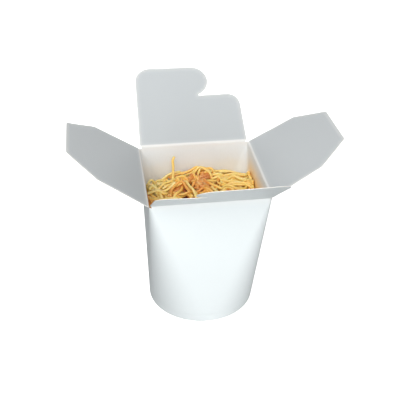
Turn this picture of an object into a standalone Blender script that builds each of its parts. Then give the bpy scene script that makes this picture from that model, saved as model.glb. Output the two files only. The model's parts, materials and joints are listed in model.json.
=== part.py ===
"""Noodle takeaway box: a paperboard pail with a round base and a square mouth, its four flaps
folded open, filled with fried noodles and a few browned strips.

Metres, +Z up. The origin is the middle of the foot, on the surface that the box stands on.
The front of the box faces -Y. Each flap turns about a crease just outside its wall.
"""
import math
import random

import bmesh
import bpy
from mathutils import Vector

MM = 0.001
GAP = 0.3 * MM
MERGE_DISTANCE = 0.001 * MM
JOINED_MERGE_DISTANCE = 0.002 * MM
SMOOTH_ANGLE = 40

# Display colour and roughness of each material
FINISHES = {
    "board": ((0.93, 0.95, 0.95), 0.55),
    "base_board": ((0.90, 0.88, 0.84), 0.6),
    "noodle": ((0.87, 0.68, 0.34), 0.35),
    "browned": ((0.74, 0.44, 0.20), 0.4),
}

# The box
RIM_WIDTH = 96 * MM
RIM_CORNER = 1.5 * MM
RIM_HEIGHT = 122 * MM
BASE_RADIUS = 46 * MM
BOARD = 0.45 * MM
HEM_HEIGHT = 5.5 * MM
ARC_STEPS = 12

# The flaps, which close in this order, each flat in a layer of its own
CLOSING_ORDER = ("left", "right", "back", "front")
LAYER_STEP = 0.6 * MM
CREASE_OUTSIDE = 0.3 * MM
CORNER_NOTCH = 1.5 * MM
FOOT_ROUNDING = 0.48 * BOARD
FOOT_SEGMENTS = 2
SIDE_TURN = {"back": 0, "left": 90, "front": 180, "right": 270}
OPEN_ANGLE = {"back": 53.6, "left": 55.2, "front": 51.4, "right": 58.5}

# The hooked blank of the back and front flaps
HOOK_LENGTH = 77 * MM
HOOK_RADIUS = 14.5 * MM
HOOK_CENTRE = 4.8 * MM
HOOK_END_ANGLE = -70
HOOK_STEPS = 14
NOTCH = 9.8 * MM
SHELF_LENGTH = 47.6 * MM
SHELF_CORNER = 11.5 * MM
TALL_CORNER = 13.5 * MM
BLANK_CORNER_STEPS = 8
MAIN_HALF_BASE = 47.2 * MM
MAIN_HALF_END = 46.2 * MM

# The chamfered blank of the left and right flaps
DUST_LENGTH = 70.5 * MM
DUST_SHOULDER_LENGTH = 44.5 * MM
DUST_HALF_BASE = 46.8 * MM
DUST_HALF_SHOULDER = 43.5 * MM
DUST_HALF_TIP = 24.8 * MM

# The heap: its bare level, then the rise, place and width of each swell and hollow in millimetres
HEAP_LEVEL = 92.5 * MM
SWELLS = (
    (3.4, (2, 24), 17),
    (2.2, (26, 8), 14),
    (2.0, (-24, -20), 15),
    (-4.8, (-44, 46), 15),
    (-3.8, (45, 47), 12),
    (-2.0, (10, -40), 14),
)
RIPPLE_HEIGHT = 0.7 * MM
RIPPLE_LENGTH = 4.4 * MM
HEAP_RINGS = 6
HEAP_RUN_STEPS = 5
HEAP_EDGE_PASSES = 4

# The noodles: some scattered evenly, some tucked round the strips
NOODLE_RADIUS = 1.4 * MM
NOODLE_STEP = 7 * MM
NOODLE_ROOM = 0.6 * MM
NOODLE_DIP = 1.3 * NOODLE_RADIUS
NOODLE_LIFT = 0.8 * NOODLE_RADIUS
NOODLE_WAVE = 0.9 * NOODLE_RADIUS
NOODLE_WAVE_RATE = 1.3
NOODLE_HALF_STEPS = (3, 5)
TIGHTEST_CURL = 10 * MM
HEADING_WANDER = 0.12
CURL_WANDER = 0.05
NOODLE_COUNT = 45
SCATTER_WIDTH = 86 * MM
TUCKED_COUNT = 16
TUCKED_HALF_STEPS = 2
TUCKED_WIDTH = 44 * MM
TUCKED_MIDDLE = (-4 * MM, 22 * MM)
PLASTIC_NUMBER = 1.32471795724
PULL_IN = 0.99
SEED = 12

# The noodles that lie side by side on the right, and the one that stands by the back wall
ROW_COUNT = 5
ROW_START = (13.5 * MM, 10.5 * MM)
ROW_SPACING = 4.6 * MM
ROW_LENGTH = 33.6 * MM
ROW_STEPS = 6
ROW_DRIFT = 3 * MM
ROW_WAVE = 1.1 * MM
ROW_LIFT = 0.9 * NOODLE_RADIUS
ROW_LIFT_WAVE = 0.4 * NOODLE_RADIUS
STANDING_FOOT = Vector((-23, 27, 88)) * MM
STANDING_TOP = Vector((-19.5, 35, 117)) * MM
STANDING_BOW = Vector((2.2, 2.2, 0)) * MM
STANDING_STEPS = 5

# The browned strips: place in millimetres, half sizes in millimetres and turn in degrees
STRIPS = (
    ((-17.5, 15.5), (6.6, 3.4, 3.0), 15),
    ((2.5, 18.5), (7.4, 3.9, 3.6), -28),
    ((-6.5, 30.5), (6.0, 3.5, 3.2), 40),
    ((9.0, 33.0), (7.0, 3.6, 3.3), 8),
    ((13.0, -15.0), (7.2, 3.8, 3.4), 62),
)
STRIP_RAISED = 1.2 * MM
STRIP_BEND = 1.3 * MM
STRIP_SQUARENESS = 0.75
STRIP_LUMP = 0.08
STRIP_LUMP_RATES = (5, 4)
STRIP_CLEARANCE = 1.2 * MM


def mix(a, b, share):
    return a + (b - a) * share


def finish_of(name):
    """The named finish as a Principled material."""
    colour, roughness = FINISHES[name]
    material = bpy.data.materials.new(name)
    material.use_nodes = True
    shader = material.node_tree.nodes["Principled BSDF"]
    linear = [((c + 0.055) / 1.055) ** 2.4 for c in colour]
    shader.inputs["Base Color"].default_value = (*linear, 1)
    shader.inputs["Roughness"].default_value = roughness
    shader.inputs["Metallic"].default_value = 0
    return material


def object_of(name, mesh, material):
    made = bpy.data.objects.new(name, mesh)
    bpy.context.collection.objects.link(made)
    mesh.materials.clear()
    mesh.materials.append(material)
    mesh.set_sharp_from_angle(angle=math.radians(SMOOTH_ANGLE))
    return made


def mesh_of(bm, name):
    """The bmesh as a closed mesh facing out."""
    bmesh.ops.remove_doubles(bm, verts=bm.verts, dist=MERGE_DISTANCE)
    bmesh.ops.recalc_face_normals(bm, faces=bm.faces)
    mesh = bpy.data.meshes.new(name)
    bm.to_mesh(mesh)
    bm.free()
    mesh.shade_smooth()
    return mesh


def crease_height(side):
    layer = CLOSING_ORDER.index(side) - (len(CLOSING_ORDER) - 1) / 2
    return RIM_HEIGHT + layer * LAYER_STEP


def wall_top(side):
    return crease_height(side) - BOARD / 2 - GAP


def section(share, inset):
    """Half width and corner radius of the box at this share of its height, inset from outside."""
    half = mix(BASE_RADIUS, RIM_WIDTH / 2, share) - inset
    corner = mix(BASE_RADIUS, RIM_CORNER, share) - inset
    return half, corner


def outline(share, inset, run_shares):
    """Points round the box: a corner arc, then places along the straight run, four times."""
    half, corner = section(share, inset)
    reach = half - corner
    points = []
    for quarter in range(4):
        turn = math.pi / 2 * quarter
        ahead = Vector((math.cos(turn), math.sin(turn)))
        leftward = Vector((-ahead.y, ahead.x))
        middle = reach * (ahead + leftward)
        for step in range(ARC_STEPS + 1):
            angle = turn + math.pi / 2 * step / ARC_STEPS
            points.append(middle + corner * Vector((math.cos(angle), math.sin(angle))))
        start, run = points[-1], -2 * reach * ahead
        points += [start + run * along for along in run_shares]
    return points


def bridged(rings, closed):
    """A bmesh of quads between rings of points, and from the last ring to the first if closed."""
    bm = bmesh.new()
    loops = [[bm.verts.new(p) for p in ring] for ring in rings]
    pairs = list(zip(loops, loops[1:]))
    if closed:
        pairs.append((loops[-1], loops[0]))
    for lower, upper in pairs:
        for i in range(len(lower)):
            j = (i + 1) % len(lower)
            bm.faces.new((lower[i], lower[j], upper[j], upper[i]))
    return bm, loops


def wall_mesh():
    """The wrapped wall, with the hem at its foot folded up inside."""
    notch = CORNER_NOTCH / (RIM_WIDTH - 2 * RIM_CORNER)
    run_shares = (notch, 1 - notch)
    sides = list(SIDE_TURN)
    heights = []
    for quarter, side in enumerate(sides):
        corner_height = min(wall_top(side), wall_top(sides[quarter - 1]))
        heights += [corner_height] * (ARC_STEPS + 1) + [wall_top(side)] * len(run_shares)

    def rim(inset):
        lower, upper = outline(0, inset, run_shares), outline(1, inset, run_shares)
        return [(*a.lerp(b, h / RIM_HEIGHT), h) for a, b, h in zip(lower, upper, heights)]

    def circle(inset, z):
        return [(*p, z) for p in outline(0, inset, run_shares)]

    hem_outside = 2 * BOARD + 2 * GAP
    hem_inside = 3 * BOARD + 2 * GAP
    rings = (
        rim(0),
        circle(0, 0),
        circle(hem_inside, 0),
        circle(hem_inside, HEM_HEIGHT),
        circle(hem_outside, HEM_HEIGHT),
        circle(hem_outside, BOARD),
        circle(BOARD, BOARD),
        rim(BOARD),
    )
    bm, _ = bridged(rings, closed=True)
    return mesh_of(bm, "wall")


def base_mesh():
    """The base disc, with its skirt turned down between the wall and the hem."""
    skirt_outside = BOARD + GAP
    skirt_inside = skirt_outside + BOARD
    underside = HEM_HEIGHT + GAP
    profile = (
        (skirt_inside, underside),
        (skirt_inside, BOARD + GAP),
        (skirt_outside, BOARD + GAP),
        (skirt_outside, underside + BOARD),
    )
    rings = [[(*p, z) for p in outline(0, inset, ())] for inset, z in profile]
    bm, loops = bridged(rings, closed=False)
    bm.faces.new(loops[0])
    bm.faces.new(loops[-1])
    return mesh_of(bm, "base")


def arc(centre, radius, start, stop, steps):
    """Points along an arc, from one angle to another in degrees."""
    angles = [math.radians(mix(start, stop, i / steps)) for i in range(steps + 1)]
    return [(centre[0] + radius * math.cos(a), centre[1] + radius * math.sin(a)) for a in angles]


def hooked_outline():
    """The back and front blank: a tall half that ends in a round hook, and a short shelf."""
    foot = -BOARD / 2
    tall_centre = (TALL_CORNER - MAIN_HALF_END, HOOK_LENGTH - TALL_CORNER)
    hook_centre = (HOOK_CENTRE, HOOK_LENGTH - HOOK_RADIUS)
    shelf_centre = (MAIN_HALF_END - SHELF_CORNER, SHELF_LENGTH - SHELF_CORNER)
    tall = arc(tall_centre, TALL_CORNER, 180, 90, BLANK_CORNER_STEPS)
    hook = arc(hook_centre, HOOK_RADIUS, 90, HOOK_END_ANGLE, HOOK_STEPS)
    shelf = arc(shelf_centre, SHELF_CORNER, 90, 0, BLANK_CORNER_STEPS)
    return [(-MAIN_HALF_BASE, foot), *tall, *hook, (NOTCH, SHELF_LENGTH), *shelf, (MAIN_HALF_BASE, foot)]


def dust_outline():
    """The left and right blank: straight sides, then a chamfer to a narrower tip."""
    right = [
        (DUST_HALF_TIP, DUST_LENGTH),
        (DUST_HALF_SHOULDER, DUST_SHOULDER_LENGTH),
        (DUST_HALF_BASE, -BOARD / 2),
    ]
    return [(-u, v) for u, v in reversed(right)] + right


def flap_mesh(name, blank):
    """The blank cut out of board, with its foot rounded about the crease."""
    bm = bmesh.new()
    face = bm.faces.new([bm.verts.new((u, -BOARD / 2, v)) for u, v in blank])
    raised = bmesh.ops.extrude_face_region(bm, geom=[face])
    lifted = [v for v in raised["geom"] if isinstance(v, bmesh.types.BMVert)]
    bmesh.ops.translate(bm, verts=lifted, vec=(0, BOARD, 0))
    at_foot = [e for e in bm.edges if all(v.co.z < 0 for v in e.verts)]
    along = [e for e in at_foot if abs(e.verts[0].co.x - e.verts[1].co.x) > BOARD]
    bmesh.ops.bevel(
        bm, geom=along, offset=FOOT_ROUNDING, segments=FOOT_SEGMENTS, profile=0.5, affect="EDGES"
    )
    return mesh_of(bm, name)


def add_flap(side, blank, material):
    """The flap on its crease, turned out to where it rests."""
    name = f"flap_{side}"
    turn = math.radians(SIDE_TURN[side])
    outward = RIM_WIDTH / 2 + CREASE_OUTSIDE
    flap = object_of(name, flap_mesh(name, blank), material)
    flap.location = (-math.sin(turn) * outward, math.cos(turn) * outward, crease_height(side))
    flap.rotation_euler = (-math.radians(OPEN_ANGLE[side]), 0, turn)


def room(point):
    """How far a point inside the box is from the wall."""
    half, corner = section(point[2] / RIM_HEIGHT, BOARD)
    beyond = Vector((abs(point[0]) - half + corner, abs(point[1]) - half + corner))
    outside = Vector((max(beyond.x, 0), max(beyond.y, 0))).length
    return corner - outside - min(max(beyond), 0)


def heap_top(x, y):
    """Height of the bare core: a low mound that falls away to the back corners."""
    height = HEAP_LEVEL
    for rise, centre, width in SWELLS:
        distance = math.hypot(x - centre[0] * MM, y - centre[1] * MM) / (width * MM)
        height += rise * MM * math.exp(-distance ** 2 / 2)
    u, v = x / RIPPLE_LENGTH, y / RIPPLE_LENGTH
    return height + RIPPLE_HEIGHT * math.sin(u + math.sin(v / 2)) * math.cos(v + math.sin(u / 2))


def core_mesh():
    """What fills the box under the noodles that show."""
    run_shares = [i / HEAP_RUN_STEPS for i in range(1, HEAP_RUN_STEPS)]
    foot = HEM_HEIGHT + GAP + BOARD + GAP
    inset = BOARD + GAP

    def ring_at(z):
        return [(*p, z) for p in outline(z / RIM_HEIGHT, inset, run_shares)]

    edge = ring_at(HEAP_LEVEL)
    for _ in range(HEAP_EDGE_PASSES):
        edge = [ring_at(heap_top(x, y))[i] for i, (x, y, _) in enumerate(edge)]
    rings = [ring_at(foot), edge]
    for ring in range(1, HEAP_RINGS):
        share = 1 - ring / HEAP_RINGS
        rings.append([(x * share, y * share, heap_top(x * share, y * share)) for x, y, _ in edge])
    bm, loops = bridged(rings, closed=False)
    bm.faces.new(loops[0])
    peak = bm.verts.new((0, 0, heap_top(0, 0)))
    last = loops[-1]
    for i in range(len(last)):
        bm.faces.new((last[i], last[(i + 1) % len(last)], peak))
    bmesh.ops.triangulate(bm, faces=[f for f in bm.faces if len(f.verts) == 4])
    return mesh_of(bm, "noodles")


def strip_mesh(name, place, half_sizes, turn, grown):
    """A browned strip: a bent, lumpy lozenge that lies on the heap."""
    x, y = place[0] * MM, place[1] * MM
    bm = bmesh.new()
    bmesh.ops.create_icosphere(bm, subdivisions=2, radius=1)
    cosine, sine = math.cos(math.radians(turn)), math.sin(math.radians(turn))
    for vert in bm.verts:
        squared = [math.copysign(abs(c) ** STRIP_SQUARENESS, c) for c in vert.co]
        u, v = [rate * c + at for rate, c, at in zip(STRIP_LUMP_RATES, vert.co, place)]
        lump = 1 + STRIP_LUMP * math.sin(u) * math.cos(v)
        along, across, up = [c * (size * MM * lump + grown) for c, size in zip(squared, half_sizes)]
        bend = STRIP_BEND * squared[0] ** 2
        across, up = across + bend, up - bend
        vert.co = (
            x + along * cosine - across * sine,
            y + along * sine + across * cosine,
            heap_top(x, y) + STRIP_RAISED + up,
        )
    return mesh_of(bm, name)


def clear_of_strips(point):
    """Whether a noodle here would pass every strip with a gap."""
    for place, half_sizes, turn in STRIPS:
        x, y = place[0] * MM, place[1] * MM
        offset = Vector(point) - Vector((x, y, heap_top(x, y) + STRIP_RAISED))
        turned = math.radians(turn)
        along = offset.x * math.cos(turned) + offset.y * math.sin(turned)
        across = offset.y * math.cos(turned) - offset.x * math.sin(turned)
        reach = [size * MM + NOODLE_RADIUS + STRIP_CLEARANCE for size in half_sizes]
        if (along / reach[0]) ** 2 + (across / reach[1]) ** 2 + (offset.z / reach[2]) ** 2 < 1:
            return False
    return True


def kept_inside(x, y, z):
    """The point drawn towards the middle until a noodle there clears the wall."""
    while room((x, y, z)) < NOODLE_RADIUS + NOODLE_ROOM:
        x, y = x * PULL_IN, y * PULL_IN
    return x, y, z


def scattered(index, centre, width):
    """The index-th of a row of places that fill a square evenly, however many there are."""
    shares = [(0.5 + (index + 1) / PLASTIC_NUMBER ** power) % 1 for power in (1, 2)]
    return [at + (share - 0.5) * width for at, share in zip(centre, shares)]


def curling_path(draw, middle, steps):
    """A noodle's way over the heap, drawn from its middle to both ends: it curls and rides over others."""
    heading, phase = draw.uniform(0, math.tau), draw.uniform(0, math.tau)
    curl = draw.uniform(-1, 1) * NOODLE_STEP / TIGHTEST_CURL
    halves = []
    for way in (1, -1):
        x, y = middle
        angle, half = heading, []
        for step in range(steps):
            angle += curl + draw.gauss(0, HEADING_WANDER)
            x += way * NOODLE_STEP * math.cos(angle)
            y += way * NOODLE_STEP * math.sin(angle)
            half.append((x, y))
            curl += draw.gauss(0, CURL_WANDER)
        halves.append(half)
    level = [*reversed(halves[1]), middle, *halves[0]]
    path = []
    for step, (x, y) in enumerate(level):
        lift = NOODLE_LIFT + NOODLE_WAVE * math.sin(phase + NOODLE_WAVE_RATE * step)
        path.append((x, y, heap_top(x, y) + lift))
    return path


def unbroken_runs(path):
    """The stretches of a path that pass the wall and the strips with a gap, their ends dipped in."""
    runs, run = [], []
    for point in path:
        if clear_of_strips(point) and room(point) > NOODLE_RADIUS + NOODLE_ROOM:
            run.append(point)
            continue
        runs.append(run)
        run = []
    runs.append(run)
    for run in runs:
        for end in {0, len(run) - 1} if run else ():
            x, y, _ = run[end]
            run[end] = (x, y, heap_top(x, y) - NOODLE_DIP)
    return [run for run in runs if len(run) > 2]


def row_paths():
    """The noodles that lie side by side along the right of the heap."""
    paths = []
    for row in range(ROW_COUNT):
        path = []
        for step in range(ROW_STEPS + 1):
            share = step / ROW_STEPS
            x = ROW_START[0] + ROW_LENGTH * share
            y = ROW_START[1] + ROW_SPACING * row - ROW_DRIFT * share + ROW_WAVE * math.sin(step + 2 * row)
            lift = ROW_LIFT + ROW_LIFT_WAVE * math.sin(2 * row + step)
            path.append(kept_inside(x, y, heap_top(x, y) + lift))
        paths.append(path)
    return paths


def standing_path():
    """The one noodle that stands up out of the heap by the back wall."""
    shares = [step / STANDING_STEPS for step in range(STANDING_STEPS + 1)]
    return [STANDING_FOOT.lerp(STANDING_TOP, s) + STANDING_BOW * math.sin(math.pi * s) for s in shares]


def noodle_object(path, index):
    """One noodle as a closed tube along its path."""
    curve = bpy.data.curves.new(f"noodle_{index}", "CURVE")
    curve.dimensions = "3D"
    curve.bevel_depth = NOODLE_RADIUS
    curve.bevel_resolution = 1
    curve.use_fill_caps = True
    spline = curve.splines.new("POLY")
    spline.points.add(len(path) - 1)
    for point, place in zip(spline.points, path):
        point.co = (*place, 1)
    holder = bpy.data.objects.new(f"noodle_{index}", curve)
    bm = bmesh.new()
    bm.from_mesh(bpy.data.meshes.new_from_object(holder))
    bpy.data.objects.remove(holder)
    return bpy.data.objects.new(f"noodle_{index}", mesh_of(bm, f"noodle_{index}"))


def boolean_with(target, others, operation):
    """Join the others to the target, or cut them from it, and take them away."""
    group = bpy.data.collections.new("pieces")
    bpy.context.scene.collection.children.link(group)
    for other in others:
        group.objects.link(other)
    modifier = target.modifiers.new("join", "BOOLEAN")
    modifier.operand_type = "COLLECTION"
    modifier.collection = group
    modifier.operation = operation
    modifier.solver = "EXACT"
    shaped = bpy.data.meshes.new_from_object(target.evaluated_get(bpy.context.evaluated_depsgraph_get()))
    target.modifiers.clear()
    target.data = shaped
    for other in others:
        bpy.data.objects.remove(other)
    bpy.data.collections.remove(group)


def keep_largest_shell(target):
    """Fill what the joining sealed off and drop loose scraps: only the outer shell stays."""
    bm = bmesh.new()
    bm.from_mesh(target.data)
    bmesh.ops.remove_doubles(bm, verts=bm.verts, dist=JOINED_MERGE_DISTANCE)
    left = set(bm.verts)
    shells = []
    while left:
        seed = left.pop()
        shell, edge = {seed}, [seed]
        while edge:
            vert = edge.pop()
            near = [e.other_vert(vert) for e in vert.link_edges]
            fresh = [v for v in near if v in left]
            left.difference_update(fresh)
            shell.update(fresh)
            edge += fresh
        shells.append(shell)
    shells.sort(key=len)
    for shell in shells[:-1]:
        bmesh.ops.delete(bm, geom=list(shell), context="VERTS")
    bm.to_mesh(target.data)
    bm.free()


def add_noodles(material):
    heap = object_of("noodles", core_mesh(), material)
    dents = []
    for index, (place, half_sizes, turn) in enumerate(STRIPS):
        mesh = strip_mesh(f"dent_{index}", place, half_sizes, turn, GAP)
        dents.append(bpy.data.objects.new(f"dent_{index}", mesh))
    boolean_with(heap, dents, "DIFFERENCE")

    draw = random.Random(SEED)
    paths = [*row_paths(), standing_path()]
    for index in range(NOODLE_COUNT):
        middle = scattered(index, (0, 0), SCATTER_WIDTH)
        paths += unbroken_runs(curling_path(draw, middle, draw.randint(*NOODLE_HALF_STEPS)))
    for index in range(TUCKED_COUNT):
        middle = scattered(index, TUCKED_MIDDLE, TUCKED_WIDTH)
        paths += unbroken_runs(curling_path(draw, middle, TUCKED_HALF_STEPS))
    boolean_with(heap, [noodle_object(p, i) for i, p in enumerate(paths)], "UNION")
    keep_largest_shell(heap)


def main():
    for old in list(bpy.data.objects):
        bpy.data.objects.remove(old)
    board, browned = finish_of("board"), finish_of("browned")
    object_of("wall", wall_mesh(), board)
    object_of("base", base_mesh(), finish_of("base_board"))
    for side in SIDE_TURN:
        blank = hooked_outline() if side in ("back", "front") else dust_outline()
        add_flap(side, blank, board)
    add_noodles(finish_of("noodle"))
    for number, (place, half_sizes, turn) in enumerate(STRIPS, 1):
        name = f"browned_strip_{number}"
        object_of(name, strip_mesh(name, place, half_sizes, turn, 0), browned)


main()
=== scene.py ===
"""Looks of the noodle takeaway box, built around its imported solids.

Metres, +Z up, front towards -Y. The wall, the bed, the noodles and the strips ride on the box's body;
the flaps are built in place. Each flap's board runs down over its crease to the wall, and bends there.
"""

import json
import math
import random

import bmesh
import bpy
import numpy as np
from mathutils import Matrix, Vector, noise


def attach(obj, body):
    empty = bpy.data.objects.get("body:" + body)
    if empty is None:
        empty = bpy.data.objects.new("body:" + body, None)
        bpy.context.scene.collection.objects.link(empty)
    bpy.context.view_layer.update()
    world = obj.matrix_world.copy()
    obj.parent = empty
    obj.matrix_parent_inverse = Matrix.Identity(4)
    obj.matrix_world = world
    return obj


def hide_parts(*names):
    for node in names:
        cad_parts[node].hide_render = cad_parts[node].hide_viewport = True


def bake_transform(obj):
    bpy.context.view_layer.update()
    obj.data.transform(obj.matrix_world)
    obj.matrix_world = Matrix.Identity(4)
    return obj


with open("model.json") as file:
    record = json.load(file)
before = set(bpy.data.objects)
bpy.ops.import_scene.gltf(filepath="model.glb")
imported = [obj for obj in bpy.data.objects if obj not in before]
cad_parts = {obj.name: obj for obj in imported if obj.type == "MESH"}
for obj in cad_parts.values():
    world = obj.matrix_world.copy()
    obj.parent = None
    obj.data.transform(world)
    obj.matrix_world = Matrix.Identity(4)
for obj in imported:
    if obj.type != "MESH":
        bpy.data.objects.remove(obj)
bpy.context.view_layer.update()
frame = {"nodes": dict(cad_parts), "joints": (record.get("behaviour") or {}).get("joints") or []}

bl_info = {
    "name": "Noodle takeaway box",
    "version": (1, 0, 0),
    "blender": (4, 5, 0),
    "location": "3D View > Sidebar > Noodle Box",
    "description": "Creased board, noodles and browned strips for the packed noodle box",
    "category": "Object",
}

MM = 0.001
MERGE_DISTANCE = 0.002 * MM
SMOOTH_ANGLE = 35

# The box, as its solids have it
RIM_HALF = 48 * MM
RIM_CORNER = 1.5 * MM
RIM_HEIGHT = 122 * MM
BASE_RADIUS = 46 * MM
GAP = 0.3 * MM
HEM_HEIGHT = 5.5 * MM
CREASE_OUTSIDE = 0.3 * MM
SIDE_TURN = {"back": 0, "left": 90, "front": 180, "right": 270}
OPEN_ANGLE = {"back": 53.6, "left": 55.2, "front": 51.4, "right": 58.5}
CREASE_OF = {joint["child"]: Vector(joint["pos_m"]) for joint in frame["joints"]}

# How finely the wall is made, and how its board ends. The seam is at a share of the back left corner,
# and fades out over a few columns.
ARC_STEPS = 20
RUN_STEPS = 14
SEAM_PLACE, SEAM_WIDTH = 0.36, 0.003
SEAM_STEP = 0.3 * MM
SEAM_FADE = 7
JOIN = 1.2 * MM
JOIN_NOTCH = 0.004
FOOT_ROUNDING = 0.22 * MM
WEAR_START, WEAR_REACH = 119.5 * MM, 1.5 * MM
# In millimetres: the heights of the wall's rings, then the height and inset of each ring over the hem
WALL_HEIGHTS = (116, 108, 98, 86, 72, 58, 44, 30, 18, 10, 7.6)
CRIMP = ((6.9, 0.12), (6.2, 0.1), (5.4, 0.0), (2.5, 0.0), (1.231, 0.0))

# The blanks of the flaps
HOOK_LENGTH = 77 * MM
HOOK_RADIUS = 14.5 * MM
HOOK_CENTRE = 4.8 * MM
HOOK_END_ANGLE = -70
NOTCH = 9.8 * MM
SHELF_LENGTH = 47.6 * MM
SHELF_CORNER = 11.5 * MM
TALL_CORNER = 13.5 * MM
MAIN_HALF_BASE = 47.2 * MM
MAIN_HALF_END = 46.2 * MM
DUST_LENGTH = 70.5 * MM
DUST_SHOULDER_LENGTH = 44.5 * MM
DUST_HALF_BASE = 46.8 * MM
DUST_HALF_SHOULDER = 43.5 * MM
DUST_HALF_TIP = 24.8 * MM
BLANK_START = 0.5 * MM
BLANK_ARC_STEPS = 10
BLANK_GRID, GRID_START, GRID_HALF = 3 * MM, 4 * MM, 45 * MM
EDGE_ROUNDING = 0.1 * MM
BEND_REACH = 1.0 * MM
BEND_CUTS = (-1.0, -0.75, -0.5, -0.25, 0.0, 0.25, 0.5, 0.75, 1.0, 1.6)
MARGIN_HALF = 46.2 * MM
# How far the cut edges' wear reaches in, and the width of the painted highlight along each crease
EDGE_WEAR, CREASE_HIGHLIGHT_WIDTH = 0.9 * MM, 1.1 * MM

# The heap, as its solid has it: rise, place and width of each swell and hollow in millimetres
HEAP_LEVEL = 92.5 * MM
SWELLS = (
    (3.4, (2, 24), 17),
    (2.2, (26, 8), 14),
    (2.0, (-24, -20), 15),
    (-4.8, (-44, 46), 15),
    (-3.8, (45, 47), 12),
    (-2.0, (10, -40), 14),
)
STRIPS = (
    ((-17.5, 15.5), (6.6, 3.4, 3.0), 15),
    ((2.5, 18.5), (7.4, 3.9, 3.6), -28),
    ((-6.5, 30.5), (6.0, 3.5, 3.2), 40),
    ((9.0, 33.0), (7.0, 3.6, 3.3), 8),
    ((13.0, -15.0), (7.2, 3.8, 3.4), 62),
)
STRIP_RAISED = 1.2 * MM
STRIP_BEND = 1.3 * MM
STRIP_SQUARENESS = 0.75


def mix(a, b, share):
    """Between a and b, at this share of the way."""
    return a + (b - a) * share


def linear(colour):
    """A display colour from 0 to 255 as the linear one that shaders work in."""
    return (*[((c / 255 + 0.055) / 1.055) ** 2.4 for c in colour], 1)


# Settings that a user may change


def colour_setting(name, description, colour):
    """A colour property whose default is given as a display colour from 0 to 255."""
    return bpy.props.FloatVectorProperty(
        name=name, description=description, default=linear(colour)[:3], min=0.0, max=1.0, subtype="COLOR"
    )


LENGTH, ANGLE, POWER = {"subtype": "DISTANCE"}, {"subtype": "ANGLE"}, {"unit": "POWER", "min": 0.0}
COUNT = {"kind": bpy.props.IntProperty, "min": 0}


def setting(name, description, default, kind=bpy.props.FloatProperty, **more):
    """A property made of numbers, with any least value, unit or subtype."""
    return kind(name=name, description=description, default=default, **more)


class BoardSettings(bpy.types.PropertyGroup):
    """The board that the wall and flaps are cut from."""

    thickness: setting("Thickness", "Thickness of the board", 0.45 * MM, min=0.2 * MM, **LENGTH)
    rim_width: setting("Mouth", "Width of the square mouth", 2 * RIM_HALF, min=50 * MM, **LENGTH)
    crown: setting("Crown", "How far a flap bows out at its middle", 1.3 * MM, **LENGTH)
    outside: colour_setting("Outside", "Colour of the coated outside", (222, 229, 230))
    # Painted shade and light: the flaps' inner faces are drawn greyer, and the wall inside lighter, than the
    # one board they share
    inside: colour_setting("Flap inside", "Colour of the flaps' inner faces", (190, 195, 197))
    lit_lining: colour_setting("Wall inside", "Colour inside the wall, above the noodles", (233, 238, 241))
    core: colour_setting("Cut edge", "Colour of the cut edges and creases", (234, 234, 231))
    # Colour of the oil stains, and also of the painted warm glow that the noodles throw on the right wall
    grease_and_glow: colour_setting("Grease", "Tint of the grease above the noodles", (255, 214, 140))


class NoodleSettings(bpy.types.PropertyGroup):
    """The noodles and what is browned among them."""

    radius: setting("Radius", "Half the thickness of a noodle", 1.2 * MM, min=0.5 * MM, **LENGTH)
    deep_count: setting("Deep noodles", "Noodles laid first, under the others", 90, **COUNT)
    top_count: setting("Top noodles", "Noodles laid next, in full view", 125, **COUNT)
    seed: setting("Seed", "Another heap for each number", 7, **COUNT)
    bed: colour_setting("Depths", "Colour deep between the noodles", (224, 148, 74))
    browned: colour_setting("Browned", "Colour of the browned strips", (228, 152, 72))


class StageSettings(bpy.types.PropertyGroup):
    """Camera, floor and light."""

    azimuth: setting("Azimuth", "Turn of the camera about the box", math.radians(-8.89), **ANGLE)
    elevation: setting("Elevation", "Tilt of the camera below level", math.radians(32.63), **ANGLE)
    roll: setting("Roll", "Turn of the camera about its own line of sight", math.radians(0.78), **ANGLE)
    place: setting(
        "Place", "Where the camera stands", (-0.0804, -0.5049, 0.4213),
        bpy.props.FloatVectorProperty, subtype="TRANSLATION",
    )
    lens: setting("Lens", "Focal length in millimetres", 65.0, min=1.0)
    sky: setting("Sky", "Strength of the even light", 0.335, min=0.0)
    key: setting("Main light", "Power of the main light", 8.2, **POWER)
    fill: setting("Low light", "Power of the low front light", 5.2, **POWER)
    side: setting("Side light", "Power of the high light on the left", 2.1, **POWER)
    left: setting("Left light", "Power of the light at the front left", 1.8, **POWER)
    right: setting("Right light", "Power of the low light on the right", 3.0, **POWER)
    back: setting("Back light", "Power of the light behind the box", 8.0, **POWER)
    key_azimuth: setting("Light azimuth", "Turn of the main light", math.radians(-12), **ANGLE)
    key_elevation: setting("Light elevation", "Height of the main light", math.radians(38), **ANGLE)
    glow: setting("Glow", "Brightness of the floor itself", 0.8, min=0.0)
    floor: colour_setting("Floor", "Colour of the floor", (250, 250, 250))


# Shader networks


class Value:
    """A shader socket that Python's operators work on: an expression adds its Math nodes."""

    def __init__(self, net, socket):
        self.net, self.socket = net, socket

    def __add__(self, other):
        return self.net.maths("ADD", self, other)

    __radd__ = __add__

    def __mul__(self, other):
        return self.net.maths("MULTIPLY", self, other)

    __rmul__ = __mul__

    def __sub__(self, other):
        return self.net.maths("SUBTRACT", self, other)

    def __rsub__(self, other):
        return self.net.maths("SUBTRACT", other, self)

    def clamped(self):
        return self.net.node("ShaderNodeClamp", {}, {"Value": self})


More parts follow.
